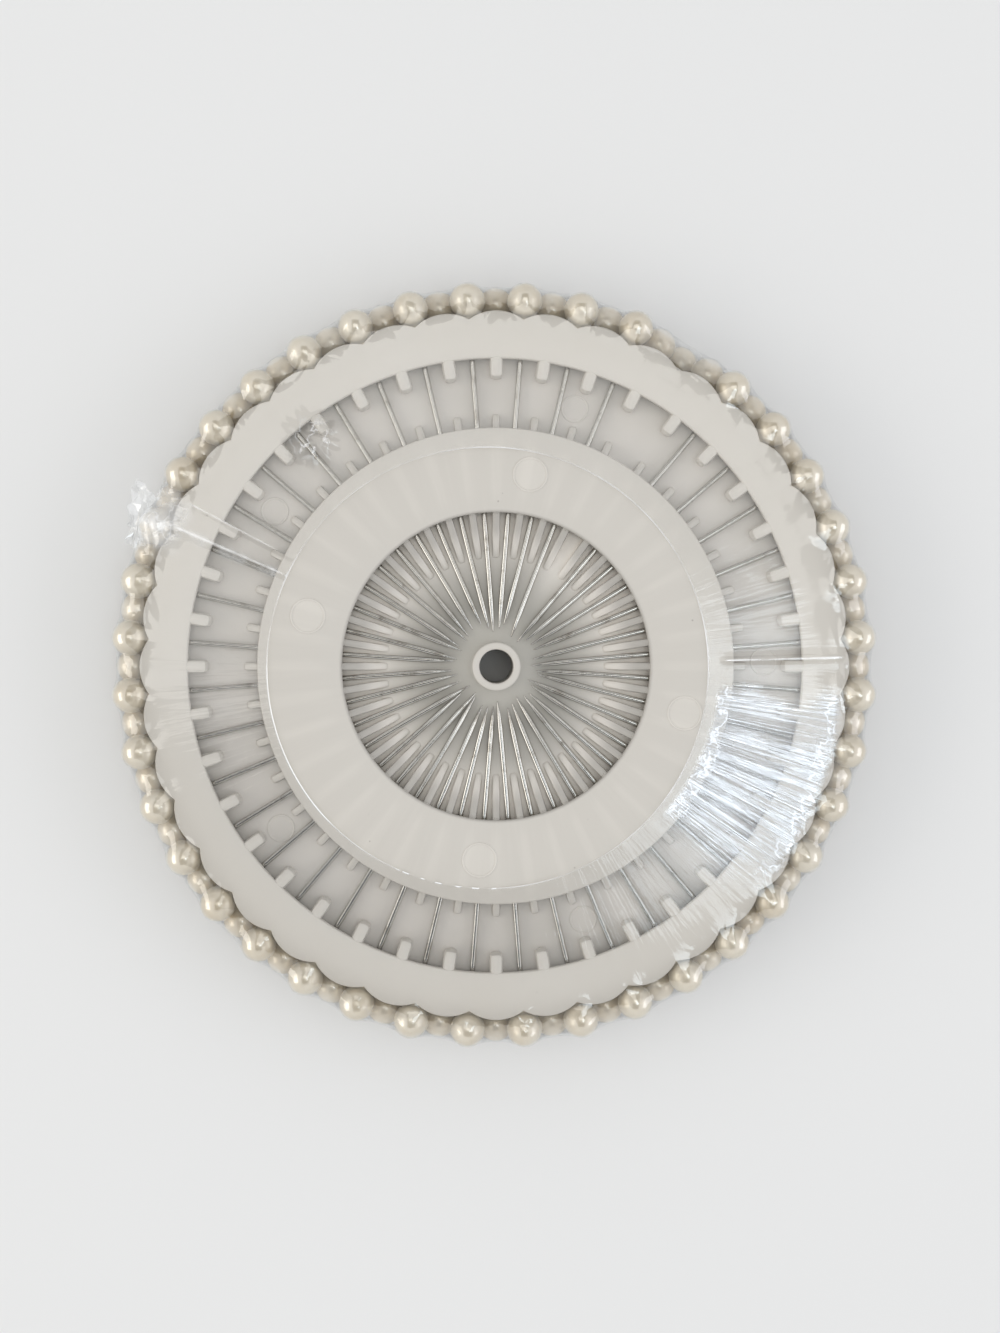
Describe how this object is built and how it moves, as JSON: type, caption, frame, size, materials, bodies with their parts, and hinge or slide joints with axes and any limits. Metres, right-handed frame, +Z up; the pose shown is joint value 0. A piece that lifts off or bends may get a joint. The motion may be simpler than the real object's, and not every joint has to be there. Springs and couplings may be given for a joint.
{
  "type": "pin wheel stack",
  "caption": "Flat scalloped plastic wheels stacked in clear shrink film, each holding straight sewing pins like spokes with a ring of pearl heads round its rim.",
  "frame": {"origin": "centre of the circle that the stack lies on, at the underside of the film", "axes": "+Z up along the hub's hole, +Y towards the top of the picture, +X to its right"},
  "size_m": [0.0872, 0.0872, 0.0108],
  "materials": {
    "wheel_plastic": "translucent natural moulded plastic with a soft sheen",
    "pearl": "pearlescent ivory lacquer",
    "pin_steel": "bright nickel plated wire",
    "clear_film": "clear glossy shrink film"
  },
  "bodies": {
    "bottom_wheel": {"bottom_wheel": "wheel_plastic"},
    "middle_wheel": {"middle_wheel": "wheel_plastic"},
    "top_wheel": {"top_wheel": "wheel_plastic"},
    "shrink_band": {"shrink_band": "clear_film"},
    "pin_01": {"pin_01": "pearl"},
    "pin_02": {"pin_02": "pearl"},
    "pin_03": {"pin_03": "pearl"},
    "pin_05": {"pin_05": "pearl"},
    "pin_06": {"pin_06": "pearl"},
    "pin_07": {"pin_07": "pearl"},
    "pin_08": {"pin_08": "pearl"},
    "pin_09": {"pin_09": "pearl"},
    "pin_10": {"pin_10": "pearl"},
    "pin_11": {"pin_11": "pearl"},
    "pin_12": {"pin_12": "pearl"},
    "pin_13": {"pin_13": "pearl"},
    "pin_14": {"pin_14": "pearl"},
    "pin_15": {"pin_15": "pearl"},
    "pin_16": {"pin_16": "pearl"},
    "pin_17": {"pin_17": "pearl"},
    "pin_18": {"pin_18": "pearl"},
    "pin_19": {"pin_19": "pearl"},
    "pin_20": {"pin_20": "pearl"},
    "pin_21": {"pin_21": "pearl"},
    "pin_22": {"pin_22": "pearl"},
    "pin_23": {"pin_23": "pearl"},
    "pin_24": {"pin_24": "pearl"},
    "pin_25": {"pin_25": "pearl"},
    "pin_26": {"pin_26": "pearl"},
    "pin_27": {"pin_27": "pearl"},
    "pin_28": {"pin_28": "pearl"},
    "pin_29": {"pin_29": "pearl"},
    "pin_30": {"pin_30": "pearl"},
    "pin_31": {"pin_31": "pearl"},
    "pin_32": {"pin_32": "pearl"},
    "pin_33": {"pin_33": "pearl"},
    "pin_34": {"pin_34": "pearl"},
    "pin_35": {"pin_35": "pearl"},
    "pin_36": {"pin_36": "pearl"},
    "pin_37": {"pin_37": "pearl"},
    "pin_38": {"pin_38": "pearl"},
    "pin_39": {"pin_39": "pearl"},
    "pin_40": {"pin_40": "pearl"}
  },
  "joints": [
    {"name": "middle_wheel_lift", "type": "slide", "parent": "bottom_wheel", "child": "middle_wheel", "axis": [0, 0, 1], "range_m": [0, 0.012], "deforming": ["shrink_band"]},
    {"name": "top_wheel_lift", "type": "slide", "parent": "middle_wheel", "child": "top_wheel", "axis": [0, 0, 1], "range_m": [0, 0.012], "deforming": ["shrink_band"]},
    {"name": "band_lift", "type": "slide", "parent": "bottom_wheel", "child": "shrink_band", "axis": [0, 0, 1], "range_m": [0, 0.045], "deforming": ["shrink_band"]},
    {"name": "pin_01_slide", "type": "slide", "parent": "top_wheel", "child": "pin_01", "axis": [0.0785, 0.9969, 0], "range_m": [0, 0.036], "deforming": ["shrink_band"]},
    {"name": "pin_02_slide", "type": "slide", "parent": "top_wheel", "child": "pin_02", "axis": [0.2334, 0.9724, 0], "range_m": [0, 0.036], "deforming": ["shrink_band"]},
    {"name": "pin_03_slide", "type": "slide", "parent": "top_wheel", "child": "pin_03", "axis": [0.3827, 0.9239, 0], "range_m": [0, 0.036], "deforming": ["shrink_band"]},
    {"name": "pin_05_slide", "type": "slide", "parent": "top_wheel", "child": "pin_05", "axis": [0.6494, 0.7604, 0], "range_m": [0, 0.036], "deforming": ["shrink_band"]},
    {"name": "pin_06_slide", "type": "slide", "parent": "top_wheel", "child": "pin_06", "axis": [0.7604, 0.6494, 0], "range_m": [0, 0.036], "deforming": ["shrink_band"]},
    {"name": "pin_07_slide", "type": "slide", "parent": "top_wheel", "child": "pin_07", "axis": [0.8526, 0.5225, 0], "range_m": [0, 0.036], "deforming": ["shrink_band"]},
    {"name": "pin_08_slide", "type": "slide", "parent": "top_wheel", "child": "pin_08", "axis": [0.9239, 0.3827, 0], "range_m": [0, 0.036], "deforming": ["shrink_band"]},
    {"name": "pin_09_slide", "type": "slide", "parent": "top_wheel", "child": "pin_09", "axis": [0.9724, 0.2334, 0], "range_m": [0, 0.036], "deforming": ["shrink_band"]},
    {"name": "pin_10_slide", "type": "slide", "parent": "top_wheel", "child": "pin_10", "axis": [0.9969, 0.0785, 0], "range_m": [0, 0.036], "deforming": ["shrink_band"]},
    {"name": "pin_11_slide", "type": "slide", "parent": "top_wheel", "child": "pin_11", "axis": [0.9969, -0.0785, 0], "range_m": [0, 0.036], "deforming": ["shrink_band"]},
    {"name": "pin_12_slide", "type": "slide", "parent": "top_wheel", "child": "pin_12", "axis": [0.9724, -0.2334, 0], "range_m": [0, 0.036], "deforming": ["shrink_band"]},
    {"name": "pin_13_slide", "type": "slide", "parent": "top_wheel", "child": "pin_13", "axis": [0.9239, -0.3827, 0], "range_m": [0, 0.036], "deforming": ["shrink_band"]},
    {"name": "pin_14_slide", "type": "slide", "parent": "top_wheel", "child": "pin_14", "axis": [0.8526, -0.5225, 0], "range_m": [0, 0.036], "deforming": ["shrink_band"]},
    {"name": "pin_15_slide", "type": "slide", "parent": "top_wheel", "child": "pin_15", "axis": [0.7604, -0.6494, 0], "range_m": [0, 0.036], "deforming": ["shrink_band"]},
    {"name": "pin_16_slide", "type": "slide", "parent": "top_wheel", "child": "pin_16", "axis": [0.6494, -0.7604, 0], "range_m": [0, 0.036], "deforming": ["shrink_band"]},
    {"name": "pin_17_slide", "type": "slide", "parent": "top_wheel", "child": "pin_17", "axis": [0.5225, -0.8526, 0], "range_m": [0, 0.036], "deforming": ["shrink_band"]},
    {"name": "pin_18_slide", "type": "slide", "parent": "top_wheel", "child": "pin_18", "axis": [0.3827, -0.9239, 0], "range_m": [0, 0.036], "deforming": ["shrink_band"]},
    {"name": "pin_19_slide", "type": "slide", "parent": "top_wheel", "child": "pin_19", "axis": [0.2334, -0.9724, 0], "range_m": [0, 0.036], "deforming": ["shrink_band"]},
    {"name": "pin_20_slide", "type": "slide", "parent": "top_wheel", "child": "pin_20", "axis": [0.0785, -0.9969, 0], "range_m": [0, 0.036], "deforming": ["shrink_band"]},
    {"name": "pin_21_slide", "type": "slide", "parent": "top_wheel", "child": "pin_21", "axis": [-0.0785, -0.9969, 0], "range_m": [0, 0.036], "deforming": ["shrink_band"]},
    {"name": "pin_22_slide", "type": "slide", "parent": "top_wheel", "child": "pin_22", "axis": [-0.2334, -0.9724, 0], "range_m": [0, 0.036], "deforming": ["shrink_band"]},
    {"name": "pin_23_slide", "type": "slide", "parent": "top_wheel", "child": "pin_23", "axis": [-0.3827, -0.9239, 0], "range_m": [0, 0.036], "deforming": ["shrink_band"]},
    {"name": "pin_24_slide", "type": "slide", "parent": "top_wheel", "child": "pin_24", "axis": [-0.5225, -0.8526, 0], "range_m": [0, 0.036], "deforming": ["shrink_band"]},
    {"name": "pin_25_slide", "type": "slide", "parent": "top_wheel", "child": "pin_25", "axis": [-0.6494, -0.7604, 0], "range_m": [0, 0.036], "deforming": ["shrink_band"]},
    {"name": "pin_26_slide", "type": "slide", "parent": "top_wheel", "child": "pin_26", "axis": [-0.7604, -0.6494, 0], "range_m": [0, 0.036], "deforming": ["shrink_band"]},
    {"name": "pin_27_slide", "type": "slide", "parent": "top_wheel", "child": "pin_27", "axis": [-0.8526, -0.5225, 0], "range_m": [0, 0.036], "deforming": ["shrink_band"]},
    {"name": "pin_28_slide", "type": "slide", "parent": "top_wheel", "child": "pin_28", "axis": [-0.9239, -0.3827, 0], "range_m": [0, 0.036], "deforming": ["shrink_band"]},
    {"name": "pin_29_slide", "type": "slide", "parent": "top_wheel", "child": "pin_29", "axis": [-0.9724, -0.2334, 0], "range_m": [0, 0.036], "deforming": ["shrink_band"]},
    {"name": "pin_30_slide", "type": "slide", "parent": "top_wheel", "child": "pin_30", "axis": [-0.9969, -0.0785, 0], "range_m": [0, 0.036], "deforming": ["shrink_band"]},
    {"name": "pin_31_slide", "type": "slide", "parent": "top_wheel", "child": "pin_31", "axis": [-0.9969, 0.0785, 0], "range_m": [0, 0.036], "deforming": ["shrink_band"]},
    {"name": "pin_32_slide", "type": "slide", "parent": "top_wheel", "child": "pin_32", "axis": [-0.9724, 0.2334, 0], "range_m": [0, 0.036], "deforming": ["shrink_band"]},
    {"name": "pin_33_slide", "type": "slide", "parent": "top_wheel", "child": "pin_33", "axis": [-0.9239, 0.3827, 0], "range_m": [0, 0.036], "deforming": ["shrink_band"]},
    {"name": "pin_34_slide", "type": "slide", "parent": "top_wheel", "child": "pin_34", "axis": [-0.8526, 0.5225, 0], "range_m": [0, 0.036], "deforming": ["shrink_band"]},
    {"name": "pin_35_slide", "type": "slide", "parent": "top_wheel", "child": "pin_35", "axis": [-0.7604, 0.6494, 0], "range_m": [0, 0.036], "deforming": ["shrink_band"]},
    {"name": "pin_36_slide", "type": "slide", "parent": "top_wheel", "child": "pin_36", "axis": [-0.6494, 0.7604, 0], "range_m": [0, 0.036], "deforming": ["shrink_band"]},
    {"name": "pin_37_slide", "type": "slide", "parent": "top_wheel", "child": "pin_37", "axis": [-0.5225, 0.8526, 0], "range_m": [0, 0.036], "deforming": ["shrink_band"]},
    {"name": "pin_38_slide", "type": "slide", "parent": "top_wheel", "child": "pin_38", "axis": [-0.3827, 0.9239, 0], "range_m": [0, 0.036], "deforming": ["shrink_band"]},
    {"name": "pin_39_slide", "type": "slide", "parent": "top_wheel", "child": "pin_39", "axis": [-0.2334, 0.9724, 0], "range_m": [0, 0.036], "deforming": ["shrink_band"]},
    {"name": "pin_40_slide", "type": "slide", "parent": "top_wheel", "child": "pin_40", "axis": [-0.0785, 0.9969, 0], "range_m": [0, 0.036], "deforming": ["shrink_band"]}
  ]
}
